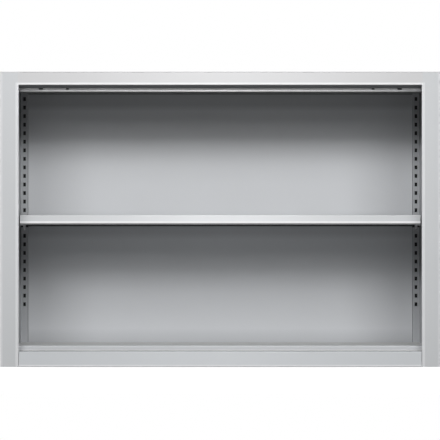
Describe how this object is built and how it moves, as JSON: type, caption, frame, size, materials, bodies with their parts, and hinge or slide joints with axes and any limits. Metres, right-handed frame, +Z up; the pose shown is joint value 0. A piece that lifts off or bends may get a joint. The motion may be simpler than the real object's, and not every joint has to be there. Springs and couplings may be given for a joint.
{
  "type": "roll front tool cabinet",
  "caption": "Low, wide folded-steel cabinet with an adjustable shelf and a side-parting roll front that runs back round the corners into side pockets.",
  "frame": {"origin": "under the middle of the base, on the floor", "axes": "+X to the right seen from the front, +Y to the back, +Z up; the open front looks along -Y"},
  "size_m": [1, 0.43, 0.67],
  "materials": {
    "carcass": "satin powder coat, pale grey",
    "liner": "satin powder coat, pale grey",
    "track": "satin moulded plastic, dark grey",
    "slat": "satin extruded plastic, pale grey",
    "stile": "satin anodised extrusion",
    "cap": "satin moulded plastic, dark grey",
    "strip": "matt black",
    "pull": "fine grained plastic, black",
    "lock_metal": "satin chrome plate",
    "zinc": "bright zinc plate",
    "case": "moulded plastic, black",
    "rivet": "bare"
  },
  "bodies": {
    "cabinet": {"left_side_casing": "carcass", "right_side_casing": "carcass", "top_panel": "carcass", "header_rail": "carcass", "plinth_rail": "carcass", "upper_track_pan": "carcass", "lower_track_pan": "carcass", "back_panel": "carcass", "inner_back_panel": "liner", "back_rivets": "rivet", "left_liner": "liner", "right_liner": "liner", "floor_panel": "liner", "ceiling_panel": "liner", "front_floor_hat": "zinc", "rear_floor_hat": "zinc", "left_ceiling_hat": "zinc", "right_ceiling_hat": "zinc", "ceiling_screws": "zinc", "left_lower_track": "track", "left_upper_track": "track", "left_slats": "slat", "right_lower_track": "track", "right_upper_track": "track", "right_slats": "slat", "shelf_clips": "zinc", "leveller_nuts": "zinc"},
    "left_shutter": {"left_stile": "stile", "left_stile_caps": "cap", "left_meeting_strip": "strip", "left_flush_pull": "pull", "keeper_plate": "zinc"},
    "right_shutter": {"right_stile": "stile", "right_stile_caps": "cap", "right_meeting_strip": "strip", "right_flush_pull": "pull", "lock_case": "case", "lock_rose": "lock_metal"},
    "barrel": {"lock_barrel": "lock_metal"},
    "bolt": {"lock_bolt": "zinc"},
    "shelf": {"shelf_panel": "liner", "shelf_stiffener": "liner"},
    "front_left_foot": {"front_left_leveller": "zinc"},
    "front_right_foot": {"front_right_leveller": "zinc"},
    "rear_left_foot": {"rear_left_leveller": "zinc"},
    "rear_right_foot": {"rear_right_leveller": "zinc"}
  },
  "joints": [
    {"name": "left_shutter_slide", "type": "slide", "parent": "cabinet", "child": "left_shutter", "axis": [1, 0, 0], "range_m": [0, 0.4582], "deforming": ["left_slats"]},
    {"name": "right_shutter_slide", "type": "slide", "parent": "cabinet", "child": "right_shutter", "axis": [-1, 0, 0], "range_m": [0, 0.4582], "deforming": ["right_slats"]},
    {"name": "lock_barrel_turn", "type": "hinge", "parent": "right_shutter", "child": "barrel", "pos_m": [0.4726, -0.1975, 0.335], "axis": [0, -1, 0], "range_deg": [0, 90]},
    {"name": "lock_bolt_slide", "type": "slide", "parent": "right_shutter", "child": "bolt", "axis": [-1, 0, 0], "range_m": [0, 0.009]},
    {"name": "shelf_lift", "type": "slide", "parent": "cabinet", "child": "shelf", "axis": [0, 0, 1], "range_m": [0, 0.02]},
    {"name": "front_left_foot_screw", "type": "slide", "parent": "cabinet", "child": "front_left_foot", "axis": [0, 0, -1], "range_m": [0, 0.012]},
    {"name": "front_right_foot_screw", "type": "slide", "parent": "cabinet", "child": "front_right_foot", "axis": [0, 0, -1], "range_m": [0, 0.012]},
    {"name": "rear_left_foot_screw", "type": "slide", "parent": "cabinet", "child": "rear_left_foot", "axis": [0, 0, -1], "range_m": [0, 0.012]},
    {"name": "rear_right_foot_screw", "type": "slide", "parent": "cabinet", "child": "rear_right_foot", "axis": [0, 0, -1], "range_m": [0, 0.012]}
  ],
  "couplings": [
    {"joint": "lock_bolt_slide", "follows": "lock_barrel_turn", "m_per_rad": 0.0057296}
  ]
}
